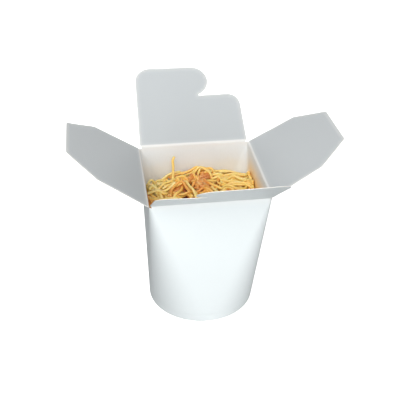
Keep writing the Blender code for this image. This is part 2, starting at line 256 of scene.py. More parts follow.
class Net:
    """The node tree of one material."""

    def __init__(self, name):
        self.material = bpy.data.materials.new(name)
        self.material.use_nodes = True
        self.tree = self.material.node_tree
        self.tree.nodes.clear()

    def node(self, kind, settings, inputs, output=0):
        """A node of this type: its settings first, then the values or links of its sockets."""
        made = self.tree.nodes.new(kind)
        for key, value in settings.items():
            if key != "stops":
                setattr(made, key, value)
                continue
            elements = made.color_ramp.elements
            while len(elements) < len(value):
                elements.new(1)
            for element, (place, colour) in zip(elements, value):
                element.position, element.color = place, colour
        for key, value in inputs.items():
            if isinstance(value, Value):
                self.tree.links.new(value.socket, made.inputs[key])
            else:
                made.inputs[key].default_value = value
        return Value(self, made.outputs[output]) if made.outputs else None

    def maths(self, operation, a, b):
        """The Math node behind each of Value's operators."""
        return self.node("ShaderNodeMath", {"operation": operation}, {0: a, 1: b})

    def blended(self, share, a, b):
        """Colour a where the share is 0 and b where it is 1."""
        return self.node("ShaderNodeMix", {"data_type": "RGBA"}, {0: share, 6: a, 7: b}, output=2)

    def place(self):
        """Object coordinates."""
        return self.node("ShaderNodeTexCoord", {}, {}, output="Object")

    def scaled(self, scale):
        """Object coordinates, stretched or squeezed along each axis."""
        return self.node("ShaderNodeMapping", {}, {"Vector": self.place(), "Scale": scale})

    def along(self, axis):
        """The object coordinate along X, Y or Z."""
        return self.node("ShaderNodeSeparateXYZ", {}, {0: self.place()}, output=axis)

    def attribute(self, name):
        return self.node("ShaderNodeAttribute", {"attribute_name": name}, {}, output="Fac")

    def grain(self, scale, detail=3.0, vector=None, distortion=0.0):
        """Noise from 0 to 1, with this many lumps to a metre."""
        vector = vector or self.place()
        inputs = {"Vector": vector, "Scale": scale, "Detail": detail, "Distortion": distortion}
        return self.node("ShaderNodeTexNoise", {}, inputs)

    def band(self, value, low, high):
        """0 at low and 1 at high, smoothly between."""
        inputs = {"Value": value, "From Min": low, "From Max": high}
        return self.node("ShaderNodeMapRange", {"interpolation_type": "SMOOTHSTEP"}, inputs)

    def bump(self, height, strength, distance):
        return self.node("ShaderNodeBump", {}, {"Height": height, "Strength": strength, "Distance": distance})

    def finish(self, inputs):
        shader = self.node("ShaderNodeBsdfPrincipled", {}, inputs)
        self.node("ShaderNodeOutputMaterial", {}, {"Surface": shader})
        return self.material


# Mesh helpers


def lofted(rings, bands):
    """A bmesh drawn ring by ring, each extruded from the last; bands are the materials between them."""
    bm = bmesh.new()
    column = bm.verts.layers.int.new("column")
    verts = bmesh.ops.create_circle(bm, segments=len(rings[0]), radius=1)["verts"]
    for index, vert in enumerate(verts):
        vert[column] = index
        vert.co = rings[0][index]
    first = edges = list(bm.edges)
    for ring, band in zip(rings[1:], bands):
        drawn = bmesh.ops.extrude_edge_only(bm, edges=edges)["geom"]
        fresh = {g for g in drawn if isinstance(g, bmesh.types.BMVert)}
        for vert in fresh:
            vert.co = ring[vert[column]]
        for face in (g for g in drawn if isinstance(g, bmesh.types.BMFace)):
            face.material_index = band
        edges = [g for g in drawn if isinstance(g, bmesh.types.BMEdge) and set(g.verts) <= fresh]
    return bm, first, edges


def mesh_of(bm, name, sharp=SMOOTH_ANGLE, merged=True):
    """The bmesh as a smooth mesh that faces outwards, sharp past an angle in degrees."""
    if merged:
        bmesh.ops.remove_doubles(bm, verts=bm.verts, dist=MERGE_DISTANCE)
    bmesh.ops.recalc_face_normals(bm, faces=bm.faces)
    mesh = bpy.data.meshes.new(name)
    bm.to_mesh(mesh)
    bm.free()
    mesh.shade_smooth()
    mesh.set_sharp_from_angle(angle=math.radians(sharp))
    return mesh


def piece(mesh, materials):
    """The mesh as an object of the same name at the origin."""
    for material in materials:
        mesh.materials.append(material)
    made = bpy.data.objects.new(mesh.name, mesh)
    bpy.context.scene.collection.objects.link(made)
    return made


def write_attribute(mesh, name, values):
    mesh.attributes.new(name, "FLOAT", "POINT").data.foreach_set("value", np.asarray(values, np.float32))


# Finishes of the board

# Oil inside the wall, each from where it starts to where it is full: a splashed line and a haze over the
# noodles; and on the right wall a painted glow, warm light from the noodles, that ends before the back corner
SPLASH_HEIGHTS = (103.5 * MM, 95.5 * MM)
HAZE_HEIGHTS = (121 * MM, 96 * MM)
GLOW_ACROSS, GLOW_ALONG = (46.3 * MM, 47.2 * MM), (47 * MM, 24 * MM)


def board_outside(settings):
    """Smooth coated board: faint mottling, a fine orange-peel coat, duller along its edges."""
    net = Net("coated_board")
    mottle, fibres = net.grain(35, 4.0), net.grain(900, 2.0, net.scaled((1, 1, 0.35)))
    edge = net.attribute("edge")
    uneven = (mottle - 0.5) * 0.10 + (fibres - 0.5) * 0.10 + 0.06
    shade = net.blended(uneven, (*settings.outside, 1), linear((206, 212, 216)))
    # Lighter towards the cut-edge colour at the worn edges, and along the creases as a painted highlight
    colour = net.blended(edge * 0.5, shade, (*settings.core, 1))
    peel = net.grain(2600, 2.0) * 0.6 + net.grain(140, 3.0)
    return net.finish({
        "Base Color": colour,
        "Roughness": 0.34 + mottle * 0.12 + fibres * 0.1 + edge * 0.15,
        "Specular IOR Level": 0.4,
        "Normal": net.bump(peel, 0.16, 0.00025),
    })


def board_inside(settings):
    """The inside of the board: more open in grain, stained with oil just above the noodles; painted shade
    greys the flaps, painted light brightens the wall, and a painted warm glow lies on the right wall.
    """
    net = Net("inner_board")
    mottle, fibres = net.grain(28, 4.0), net.grain(700, 3.0, net.scaled((1, 1, 0.4)))
    edge = net.attribute("edge")
    reach = net.grain(120, 4.0, distortion=0.6) * 0.010
    height = net.along("Z")
    # Painted light: a warm glow on the right wall, standing in for light thrown by the noodles
    painted_glow = net.band(net.along("X"), *GLOW_ACROSS) * net.band(net.along("Y"), *GLOW_ALONG)
    flap = net.attribute("flap")
    splashed = net.band(height - reach, *SPLASH_HEIGHTS) * 0.06
    stain = splashed + net.band(height, *HAZE_HEIGHTS) * (0.02 + painted_glow)
    oil_and_glow = (stain * (1 - flap)).clamped()
    # Painted shade on the flaps' inner faces and painted light on the wall inside, split by the flap
    # attribute
    clean = net.blended(flap, (*settings.lit_lining, 1), (*settings.inside, 1))
    uneven = (mottle - 0.5) * 0.12 + (fibres - 0.5) * 0.16 + 0.08
    shade = net.blended(uneven, clean, linear((198, 200, 200)))
    oiled_and_glowing = net.blended(oil_and_glow, shade, (*settings.grease_and_glow, 1))
    # The cut-edge colour at worn edges, and along the creases as a painted highlight
    colour = net.blended(edge, oiled_and_glowing, (*settings.core, 1))
    return net.finish({
        "Base Color": colour,
        "Roughness": 0.55 + fibres * 0.14 - oil_and_glow * 0.2,
        "Specular IOR Level": 0.35,
        "Normal": net.bump(net.grain(2200, 3.0) * 0.5 + fibres + mottle * 0.5, 0.2, 0.0003),
    })


def board_edge(settings):
    """The cut through the board: bare fibres in thin layers."""
    net = Net("board_edge")
    layers, fibres = net.grain(3000, 2.0), net.grain(500, 4.0)
    colour = net.blended(fibres * 0.5 + layers * 0.3, (*settings.core, 1), linear((206, 200, 188)))
    return net.finish({
        "Base Color": colour,
        "Roughness": 0.75 + fibres * 0.15,
        "Normal": net.bump(layers + fibres, 0.35, 0.0002),
    })


def board_materials(settings):
    return [board_outside(settings), board_inside(settings), board_edge(settings)]


OUTSIDE, INSIDE, EDGE = range(3)


# The wall and base


def columns():
    """The columns round the box: a quarter, then how far round its corner or along its run."""
    made = []
    for quarter in range(4):
        arc = [step / ARC_STEPS for step in range(ARC_STEPS + 1)]
        if quarter == 1:
            arc = sorted([*arc, SEAM_PLACE, SEAM_PLACE + SEAM_WIDTH])
        made += [(quarter, share, None) for share in arc]
        runs = [JOIN_NOTCH, *[step / RUN_STEPS for step in range(1, RUN_STEPS)], 1 - JOIN_NOTCH]
        made += [(quarter, None, share) for share in runs]
    return made


def seam_lift(column, order):
    """How far the board stands out at a column: most where its end laps over, and less past the seam."""
    past = order.index(column) - order.index((1, SEAM_PLACE + SEAM_WIDTH, None))
    return SEAM_STEP * max(0.0, 1 - past / SEAM_FADE) if past >= 0 else 0.0


def place_round(column, z, inset, rim_half):
    """The point of a column at height z, inset from the outside of the box."""
    quarter, arc, run = column
    share = z / RIM_HEIGHT
    half = mix(BASE_RADIUS, rim_half, share) - inset
    corner = mix(BASE_RADIUS, RIM_CORNER, share) - inset
    reach = half - corner
    turn = math.pi / 2 * quarter
    ahead = Vector((math.cos(turn), math.sin(turn)))
    leftward = Vector((-ahead.y, ahead.x))
    if run is None:
        angle = turn + math.pi / 2 * arc
        point = reach * (ahead + leftward) + corner * Vector((math.cos(angle), math.sin(angle)))
    else:
        point = reach * ahead + half * leftward - 2 * reach * run * ahead
    return Vector((*point, z))


def wall_mesh(board):
    """The wrapped wall: tall rings down the outside, round the foot and the hem, and up the inside."""
    order = columns()
    sides = list(SIDE_TURN)
    crease = {side: CREASE_OF[f"{side}_flap"].z for side in sides}
    lifts = [seam_lift(c, order) for c in order]
    thick, rim_half = board.thickness, board.rim_width / 2

    def top(column):
        side, before = sides[column[0]], sides[column[0] - 1]
        if column[2] is None:
            return min(crease[side], crease[before]) - thick / 2 - GAP
        return crease[side] - JOIN

    def ring(height, inset, lapped=False, from_top=False):
        return [
            place_round(c, top(c) - height if from_top else height, inset - lapped * lift, rim_half)
            for c, lift in zip(order, lifts)
        ]

    hem_outside, hem_inside = 2 * (thick + GAP), 3 * thick + 2 * GAP
    heights, foot = [z * MM for z in WALL_HEIGHTS], FOOT_ROUNDING
    rings = [ring(0.0, EDGE_ROUNDING, True, True), ring(EDGE_ROUNDING, 0.0, True, True)]
    rings += [ring(z, 0.0, lapped=True) for z in heights]
    rings += [ring(z * MM, inset * MM, lapped=True) for z, inset in CRIMP]
    turned = len(rings) + 4
    rings += [
        ring(foot, 0.0), ring(foot * 0.3, foot * 0.3), ring(0, foot),
        ring(0, hem_inside - foot), ring(foot, hem_inside), ring(HEM_HEIGHT, hem_inside),
        ring(HEM_HEIGHT, hem_outside), ring(thick, hem_outside), ring(thick, thick),
    ]
    rings += [ring(z, thick) for z in reversed(heights[:-1])]
    rings += [ring(EDGE_ROUNDING, thick, False, True), ring(0.0, thick - EDGE_ROUNDING, False, True)]
    bands = [OUTSIDE] * turned + [INSIDE] * (len(rings) - turned - 1)
    bm, first, last = lofted(rings, bands)
    for face in bmesh.ops.bridge_loops(bm, edges=first + last)["faces"]:
        face.material_index = EDGE
    mesh = mesh_of(bm, "wall_board")
    z = np.array([v.co.z for v in mesh.vertices])
    worn = np.clip((z - WEAR_START) / WEAR_REACH, 0, 1) * 0.6 + np.clip(1 - z / WEAR_REACH, 0, 1)
    write_attribute(mesh, "edge", worn)
    write_attribute(mesh, "flap", np.zeros(len(z)))
    return mesh


# The flaps


def arc_points(centre, radius, start, stop):
    """Points along an arc, from one angle to another in degrees."""
    angles = [math.radians(mix(start, stop, i / BLANK_ARC_STEPS)) for i in range(BLANK_ARC_STEPS + 1)]
    return [(centre[0] + radius * math.cos(a), centre[1] + radius * math.sin(a)) for a in angles]


def hooked_blank():
    """The back and front blank: a tall half that ends in a round hook, and a short shelf."""
    tall = arc_points((TALL_CORNER - MAIN_HALF_END, HOOK_LENGTH - TALL_CORNER), TALL_CORNER, 180, 90)
    hook = arc_points((HOOK_CENTRE, HOOK_LENGTH - HOOK_RADIUS), HOOK_RADIUS, 90, HOOK_END_ANGLE)
    shelf = arc_points((MAIN_HALF_END - SHELF_CORNER, SHELF_LENGTH - SHELF_CORNER), SHELF_CORNER, 90, 0)
    ends = (-MAIN_HALF_BASE, BLANK_START), (MAIN_HALF_BASE, BLANK_START)
    return [ends[0], *tall, *hook, (NOTCH, SHELF_LENGTH), *shelf, ends[1]]


def dust_blank():
    """The left and right blank: straight sides, then a chamfer to a narrower tip."""
    shoulder = (DUST_HALF_SHOULDER, DUST_SHOULDER_LENGTH)
    right = [(DUST_HALF_TIP, DUST_LENGTH), shoulder, (DUST_HALF_BASE, BLANK_START)]
    return [(-u, v) for u, v in reversed(right)] + right


def blank_solid(blank, thick):
    """The blank with its margin down to the wall, cut out of board and scored all over by a grid."""
    outline = [(-MARGIN_HALF, -JOIN), (-MARGIN_HALF, 0.0), *blank, (MARGIN_HALF, 0.0), (MARGIN_HALF, -JOIN)]
    bm = bmesh.new()
    face = bm.faces.new([bm.verts.new((u, -thick / 2, v)) for u, v in outline])
    raised = bmesh.ops.extrude_face_region(bm, geom=[face])["geom"]
    bmesh.ops.translate(bm, verts=[v for v in raised if isinstance(v, bmesh.types.BMVert)], vec=(0, thick, 0))
    bmesh.ops.recalc_face_normals(bm, faces=bm.faces)
    for face in bm.faces:
        face.material_index = EDGE if abs(face.normal.y) < 0.5 else OUTSIDE if face.normal.y > 0 else INSIDE
    rim = [
        e for e in bm.edges
        if abs(e.verts[0].co.y - e.verts[1].co.y) < thick / 2 and max(v.co.z for v in e.verts) > -JOIN / 2
    ]
    bmesh.ops.bevel(bm, geom=rim, offset=EDGE_ROUNDING, segments=2, profile=0.5, material=-1, affect="EDGES")
    tallest = max(v for _, v in outline)
    ups = [v * MM for v in BEND_CUTS] + list(np.arange(GRID_START, tallest, BLANK_GRID))
    acrosses = np.arange(-GRID_HALF, GRID_HALF + BLANK_GRID / 2, BLANK_GRID)
    for normal, cuts in (((0, 0, 1), ups), ((1, 0, 0), acrosses)):
        for cut in cuts:
            everything = [*bm.verts, *bm.edges, *bm.faces]
            bmesh.ops.bisect_plane(bm, geom=everything, plane_co=Vector(normal) * cut, plane_no=normal)
    return bm


def over_crease(v, open_angle, wall_back):
    """Where the middle of the board is at v along the flap, and its way on, both outwards and upwards.

    Between the margin on the wall and the open flap it follows one smooth curve.
    """
    lean = Vector((math.sin(open_angle), math.cos(open_angle)))
    if v >= BEND_REACH:
        return lean * v, lean
    if v <= -BEND_REACH:
        return Vector((-wall_back, v)), Vector((0, 1))
    start, end = Vector((-wall_back, -BEND_REACH)), lean * BEND_REACH
    pull = 2 * BEND_REACH
    s = (v + BEND_REACH) / pull
    up = Vector((0, 1))
    place = (
        start * (2 * s**3 - 3 * s**2 + 1) + up * pull * (s**3 - 2 * s**2 + s)
        + end * (3 * s**2 - 2 * s**3) + lean * pull * (s**3 - s**2)
    )
    way = (
        (start - end) * (6 * s**2 - 6 * s) + up * pull * (3 * s**2 - 4 * s + 1)
        + lean * pull * (3 * s**2 - 2 * s)
    )
    return place, way.normalized()


def edge_wear(u, v, outline):
    """1 on the outline of a blank, falling to 0 a little way in."""
    away = 1.0
    for (a, b), (c, d) in zip(outline, outline[1:]):
        length = math.hypot(c - a, d - b)
        if length < MERGE_DISTANCE:
            continue
        t = min(max(((u - a) * (c - a) + (v - b) * (d - b)) / length**2, 0), 1)
        away = min(away, math.hypot(u - a - t * (c - a), v - b - t * (d - b)))
    return math.exp(-away / EDGE_WEAR)


def flap_piece(side, board, materials):
    """One flap: its blank bent over the crease, bowed a little, and turned out to where it rests."""
    blank = hooked_blank() if side in ("back", "front") else dust_blank()
    bm = blank_solid(blank, board.thickness)
    outward = board.rim_width / 2 + CREASE_OUTSIDE
    wall_back = CREASE_OUTSIDE + board.thickness / 2
    crease = CREASE_OF[f"{side}_flap"].z
    open_angle = math.radians(OPEN_ANGLE[side])
    turned = Matrix.Rotation(math.radians(SIDE_TURN[side]), 3, "Z")
    wear, crease_highlight, above = [], [], []
    for vert in bm.verts:
        u, t, v = vert.co
        wear.append(edge_wear(u, v, blank))
        # Painted highlight: a light line along the crease, where the fold's bend catches the light
        crease_highlight.append(math.exp(-((v / CREASE_HIGHLIGHT_WIDTH) ** 2)))
        above.append(min(max(v / BEND_REACH, 0.0), 1.0))
        if v > 0:
            bow = (1 - (u / outward) ** 2) * (1 - ((outward - v) / outward) ** 2)
            t += board.crown * max(bow, 0.0)
        (out, up), (way_out, way_up) = over_crease(v, open_angle, wall_back)
        vert.co = turned @ Vector((u, outward + out + t * way_up, crease + up - t * way_out))
    mesh = mesh_of(bm, f"{side}_flap_board", merged=False)
    write_attribute(mesh, "edge", np.maximum(np.array(wear) * 0.7, crease_highlight))
    write_attribute(mesh, "flap", above)
    made = piece(mesh, materials)
    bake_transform(made)
    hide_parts(f"flap_{side}")


# The noodles

# The bed that fills the box under them
BED_DEPTH, BED_RINGS, BED_PASSES = 16.5 * MM, 26, 4
BED_LUMP, BED_LUMP_RATE = 0.8 * MM, 260
# How a noodle lies: its steps on a grid of cells, the share of its radius that touches what is under it,
# and the share that it sinks in
CELL, STEP = 0.5 * MM, 1.6 * MM
CONTACT, SINK = 0.7, 0.3
SAG_PASSES = 8
WALL_ROOM = 0.5 * MM
DRAW_IN, DRAW_IN_PASSES = 0.99, 3
# How it wanders from its start, in radians a step, and which of several ways it takes
FIRST_CURL, CURL_KEPT, CURL_CHANGE = 0.15, 0.93, 0.045
LOOK_AHEAD, WALL_TURN = 5, 0.3
START_HALF, SPREAD_RATIO = 44 * MM, 1.32471795724
CANDIDATES, PILE_COST, SHYNESS = 12, 5, 150 * MM
# Radius as a share of the set one, length in millimetres, and how full the heap may be under a noodle
DEEP_RADIUS, DEEP_LENGTH, DEEP_FULL = (0.9, 1.1), (60, 150), -4.5 * MM
TOP_RADIUS, TOP_LENGTH, TOP_FULL, TOP_FIRST = (0.85, 1.05), (35, 110), -0.9 * MM, 7
# Where few of them go: on the strips, in the dip at the back left, and across the rows on the right
STRIP_CLEARING = 1.5
DIP, DIP_RADIUS = (-28 * MM, 42 * MM), 14 * MM
ROW_CLEARING, ROW_AVOIDED = 12 * MM, 0.15
# The rows: noodles side by side, each with its start shifted by up to some millimetres, a share of the
# length, a gentle wave, and a turn towards the front at its end
ROW_COUNT, ROW_POINTS = 10, 26
ROW_START, ROW_SPACING, ROW_LENGTH = (16 * MM, 14 * MM), 2.75 * MM, 34 * MM
ROW_SHIFT, ROW_SHARES = 4, (0.8, 1.0)
ROW_FALL, ROW_TURN, ROW_TURN_POWER = 3 * MM, 9 * MM, 5
ROW_WAVE, ROW_WAVES, ROW_PHASE = 0.8 * MM, 5, 1.7
ROW_WARMTH, ROW_WARMTH_SPREAD = 0.36, 0.04
# The form of a noodle: how round and how flat it is, and its radius close to its ends
SIDES_RESOLUTION, FLATNESS = 2, 0.9
END_PLACES, END_SHARES = (0.0, 0.1, 0.4), (0.0, 0.7, 0.95)
# How browned it is, from 0 to 1, and the painted shade that makes it browner and darker the deeper it lies
WARMTH, WARMTH_SPREAD = 0.37, 0.12
# Painted light: the noodles at the back left are drawn paler, as if brightly lit
LIT_PLACE, LIT_WIDTH, LIT_PALER = (-33 * MM, 20 * MM), 23 * MM, 0.22
BROWN_PLACE, BROWN_WIDTH, BROWNER = (-7 * MM, 19 * MM), 14 * MM, 0.54
DEPTH_SHADE, SHADE_DEPTH, LIT_HEIGHT = 0.14, 5 * MM, 0.3
SUNK_SHADE_DEPTH = 3.5 * MM
# Single noodles, by their warmth and points in millimetres: some lie on the heap, one stands up out of it,
# and one arches over it at the left
LYING = (
    (0.66, ((-26, 1), (-23.5, 12), (-17, 18), (-11.5, 12), (-10, 2))),
    (0.28, ((-12.5, 25), (-9, 14), (-5.5, 2), (-3.5, -7))),
    (0.35, ((-43, 12), (-36, 21), (-27, 25), (-19, 29))),
    (0.72, ((-44.5, 10), (-44, -6), (-42.5, -22), (-38, -34))),
    (0.64, ((-45, 2), (-41, -12), (-43, -26), (-40, -40))),
    (0.22, ((-44, 21), (-37, 13), (-33, 2), (-36, -9))),
    (0.30, ((-45, 6), (-38, 9), (-31, 6), (-28, 8))),
    (0.26, ((-41, 32), (-38, 22), (-30, 15), (-20, 17))),
    (0.34, ((-44, -3), (-36, 0), (-30, -2), (-25, -8))),
)
STANDING = (
    (0.34, ((-23, 27, 88), (-21, 30.5, 97), (-20, 33.5, 107), (-20.2, 35.2, 114), (-18.6, 35.8, 117.2))),
    (0.16, ((-44, 26, 86), (-43, 29, 94), (-40, 31, 98), (-37, 32, 95), (-35, 30, 86))),
)


def apart(x, y, place):
    """The square of the distance between places as seen from above; x and y may be arrays."""
    return (x - place[0]) ** 2 + (y - place[1]) ** 2


def smoothed(z):
    """Heights along a path, each drawn towards those beside it."""
    padded = np.concatenate((z[:1], z, z[-1:]))
    return 0.25 * padded[:-2] + 0.5 * z + 0.25 * padded[2:]


def swell(x, y):
    """Height of the heap's smooth form; x and y may be arrays."""
    height = HEAP_LEVEL + 0 * x
    for rise, centre, width in SWELLS:
        away = apart(x, y, (centre[0] * MM, centre[1] * MM)) / (width * MM) ** 2
        height = height + rise * MM * np.exp(-away / 2)
    return height


def room(x, y, z, thick):
    """How far a point inside the box is from the wall."""
    share = z / RIM_HEIGHT
    half = mix(BASE_RADIUS, RIM_HALF, share) - thick
    corner = mix(BASE_RADIUS, RIM_CORNER, share) - thick
    ax, ay = abs(x) - half + corner, abs(y) - half + corner
    return corner - math.hypot(max(ax, 0), max(ay, 0)) - min(max(ax, ay), 0)


class Heap:
    """Heights of what lies in the box so far, on a square grid of cells."""

    def __init__(self, thick):
        self.thick = thick
        line = np.linspace(-RIM_HALF, RIM_HALF, int(2 * RIM_HALF / CELL) + 1)
        self.x, self.y = np.meshgrid(line, line, indexing="ij")
        self.height = swell(self.x, self.y) - BED_DEPTH
        self.avoid = np.zeros_like(self.height)

    def place_strips(self):
        """Raise the heap to the tops of the strips, and keep most noodles off them, the rows and the dip."""
        x, y = self.x, self.y
        for place, half_sizes, turn in STRIPS:
            along, across = strip_axes(x - place[0] * MM, y - place[1] * MM, turn)
            inside = (along / (half_sizes[0] * MM)) ** 2 + (across / (half_sizes[1] * MM)) ** 2
            top = swell(place[0] * MM, place[1] * MM) + STRIP_RAISED
            dome = top + half_sizes[2] * MM * np.sqrt(np.clip(1 - inside, 0, 1))
            self.height = np.where(inside < 1, np.maximum(self.height, dome), self.height)
            self.avoid = np.where(inside < STRIP_CLEARING, 1.0, self.avoid)
        row_middle = ROW_START[1] + ROW_SPACING * (ROW_COUNT - 1) / 2
        in_rows = (x > ROW_START[0]) & (abs(y - row_middle) < ROW_CLEARING)
        self.avoid = np.where(in_rows, ROW_AVOIDED, self.avoid)
        self.avoid = np.where(apart(x, y, DIP) < DIP_RADIUS**2, 1.0, self.avoid)

    def cells(self, x, y):
        """The cells that hold these places."""
        last = len(self.height) - 1
        return tuple(np.clip(np.rint((at + RIM_HALF) / CELL).astype(int), 0, last) for at in (x, y))

    def rest_heights(self, x, y, radius):
        """The lowest a noodle's middle can be at each point of its path."""
        lowest = np.full(len(x), -1.0)
        reach = CONTACT * radius
        for dx, dy in ((0, 0), (reach, 0), (-reach, 0), (0, reach), (0, -reach)):
            stands = math.sqrt(radius**2 - dx**2 - dy**2)
            lowest = np.maximum(lowest, self.height[self.cells(x + dx, y + dy)] + stands)
        return lowest

    def laid(self, x, y, radius):
        """The heights of a soft noodle dropped along a path: it rests on what is there and spans gaps."""
        rest = self.rest_heights(x, y, radius) - SINK * radius
        z = rest.copy()
        for _ in range(SAG_PASSES):
            z = np.maximum(rest, smoothed(z))
        return smoothed(z)

    def path_over(self, x, y, radius):
        """The path of a noodle laid along a way, drawn in from the wall where the box narrows downwards."""
        for _ in range(DRAW_IN_PASSES):
            z = self.laid(x, y, radius)
            for i in range(len(x)):
                while room(x[i], y[i], z[i], self.thick) < radius + WALL_ROOM:
                    x[i], y[i] = x[i] * DRAW_IN, y[i] * DRAW_IN
        return np.column_stack((x, y, self.laid(x, y, radius)))

    def stamp(self, path, radius):
        """Raise the heap to the top of a noodle that was laid."""
        reach = int(radius / CELL) + 1
        x, y, z = path.T
        i, j = self.cells(x, y)
        last = len(self.height) - 1
        for di in range(-reach, reach + 1):
            for dj in range(-reach, reach + 1):
                away = (di * di + dj * dj) * CELL**2
                if away < radius**2:
                    target = (np.clip(i + di, 0, last), np.clip(j + dj, 0, last))
                    np.maximum.at(self.height, target, z + math.sqrt(radius**2 - away))


def strip_axes(x, y, turn):
    """A place as seen along and across a strip that is turned by this many degrees."""
    c, s = math.cos(math.radians(turn)), math.sin(math.radians(turn))
    return x * c + y * s, y * c - x * s


def wandering(draw, start, length, radius, thick):
    """A noodle's way over the heap, seen from above: it curls, and turns along the wall when it meets it."""
    x, y = start
    heading, curl = draw.uniform(0, math.tau), draw.gauss(0, FIRST_CURL)
    path = [(x, y)]
    for _ in range(int(length / STEP)):
        curl = CURL_KEPT * curl + draw.gauss(0, CURL_CHANGE)
        heading += curl
        reach = LOOK_AHEAD * STEP
        ahead = (x + reach * math.cos(heading), y + reach * math.sin(heading))
        if room(*ahead, HEAP_LEVEL, thick) < radius + WALL_ROOM:
            home = math.atan2(-y, -x)
            away = (home - heading + math.pi) % math.tau - math.pi
            heading += math.copysign(WALL_TURN, away)
        x += STEP * math.cos(heading)
        y += STEP * math.sin(heading)
        while room(x, y, HEAP_LEVEL, thick) < radius + WALL_ROOM:
            x, y = x * DRAW_IN, y * DRAW_IN
        path.append((x, y))
    return np.array(path)


def spread_start(index, half):
    """Even places over a square, however many there are."""
    shares = [(0.5 + (index + 1) / SPREAD_RATIO**power) % 1 for power in (1, 2)]
    return [(2 * share - 1) * half for share in shares]


def warmth_at(x, y):
    """How browned the noodles are over the heap: paler at the back left as painted light, brown round the
    strips.
    """
    pale, brown = [
        np.exp(-apart(x, y, place) / (2 * width**2))
        for place, width in ((LIT_PLACE, LIT_WIDTH), (BROWN_PLACE, BROWN_WIDTH))
    ]
    return WARMTH - LIT_PALER * pale + BROWNER * brown


def with_round_ends(path, radius):
    """The path with close points at both ends, and its radius at each point, down to nothing at the tips."""
    ways = [path[1] - path[0], path[-2] - path[-1]]
    near = [way / np.linalg.norm(way) * radius for way in ways]
    start, end = [[tip + share * way for share in END_PLACES] for tip, way in zip((path[0], path[-1]), near)]
    radii = np.full(len(path) - 2, radius)
    taper = radius * np.array(END_SHARES)
    return np.concatenate((start, path[1:-1], end[::-1])), np.concatenate((taper, radii, taper[::-1]))


class Strands:
    """The noodles laid so far: their paths, radii and warmth."""

    def __init__(self, heap):
        self.heap, self.paths, self.radii, self.warmth = heap, [], [], []

    def add(self, path, radius, own_warmth, browned=None):
        self.heap.stamp(path, radius)
        self.paths.append(path)
        self.radii.append(radius)
        # Painted shade: noodles below the heap's form are drawn browner and darker, those above it paler
        depth = np.clip((swell(path[:, 0], path[:, 1]) - path[:, 2]) / SHADE_DEPTH, -LIT_HEIGHT, 1)
        place = warmth_at(path[:, 0], path[:, 1]) if browned is None else browned
        self.warmth.append(np.clip(place + own_warmth + DEPTH_SHADE * depth, 0, 1))

    def lay_best(self, draw, index, radius, length, full):
        """Of several ways from one start, take the one that fills the lowest ground off the strips.

        None is laid where the heap already has its full height.
        """
        best, best_cost = None, math.inf
        for _ in range(CANDIDATES):
            way = wandering(draw, spread_start(index, START_HALF), length, radius, self.heap.thick)
            cells = self.heap.cells(*way.T)
            over = self.heap.height[cells] - swell(*way.T)
            piled = np.maximum(over + radius, 0).mean()
            cost = over.mean() + PILE_COST * piled + SHYNESS * self.heap.avoid[cells].mean()
            if cost < best_cost and over.mean() < full:
                best, best_cost = way, cost
        if best is not None:
            self.add(self.heap.path_over(*best.T, radius), radius, draw.gauss(0, WARMTH_SPREAD))

    def mesh(self, name):
        """All of them as one mesh: a curve bevelled to tubes, a little flattened, with rounded ends."""
        curve = bpy.data.curves.new(name, "CURVE")
        curve.dimensions, curve.bevel_depth, curve.bevel_resolution = "3D", 1.0, SIDES_RESOLUTION
        rounded = [with_round_ends(path, radius) for path, radius in zip(self.paths, self.radii)]
        for path, radii in rounded:
            spline = curve.splines.new("POLY")
            spline.points.add(len(path) - 1)
            spline.points.foreach_set("co", np.column_stack((path, np.ones(len(path)))).ravel())
            spline.points.foreach_set("radius", radii)
        holder = bpy.data.objects.new(name, curve)
        mesh = bpy.data.meshes.new_from_object(holder)
        bpy.data.objects.remove(holder)
        middles = np.concatenate([path for path, _ in rounded])
        sides = len(mesh.vertices) // len(middles)
        co = np.zeros(len(mesh.vertices) * 3)
        mesh.vertices.foreach_get("co", co)
        co = co.reshape(-1, 3)
        centre = np.repeat(middles, sides, axis=0)
        co[:, 2] = centre[:, 2] + (co[:, 2] - centre[:, 2]) * FLATNESS
        mesh.vertices.foreach_set("co", co.ravel())
        warmth = [np.pad(w, len(END_PLACES) - 1, mode="edge") for w in self.warmth]
        write_attribute(mesh, "warmth", np.repeat(np.concatenate(warmth), sides))
        # Painted shade: how far a noodle lies under others, drawn browner and darker in its colour
        covered = self.heap.height[self.heap.cells(co[:, 0], co[:, 1])] - co[:, 2]
        write_attribute(mesh, "sunk", np.clip(covered / SUNK_SHADE_DEPTH, 0, 1))
        bm = bmesh.new()
        bm.from_mesh(mesh)
        bpy.data.meshes.remove(mesh)
        return mesh_of(bm, name, 180)


def through(points):
    """A smooth path through a few points in millimetres."""
    points = np.array(points, float) * MM
    spans = len(points) - 1
    path = []
    for i in range(spans):
        a, b = points[max(i - 1, 0)], points[i]
        c, d = points[i + 1], points[min(i + 2, spans)]
        squared, cubed = 2 * a - 5 * b + 4 * c - d, 3 * b - a - 3 * c + d
        count = max(2, int(np.linalg.norm(c - b) / STEP))
        for s in np.arange(count) / count:
            path.append(0.5 * (2 * b + (c - a) * s + squared * s**2 + cubed * s**3))
    path.append(points[-1])
    return np.array(path)


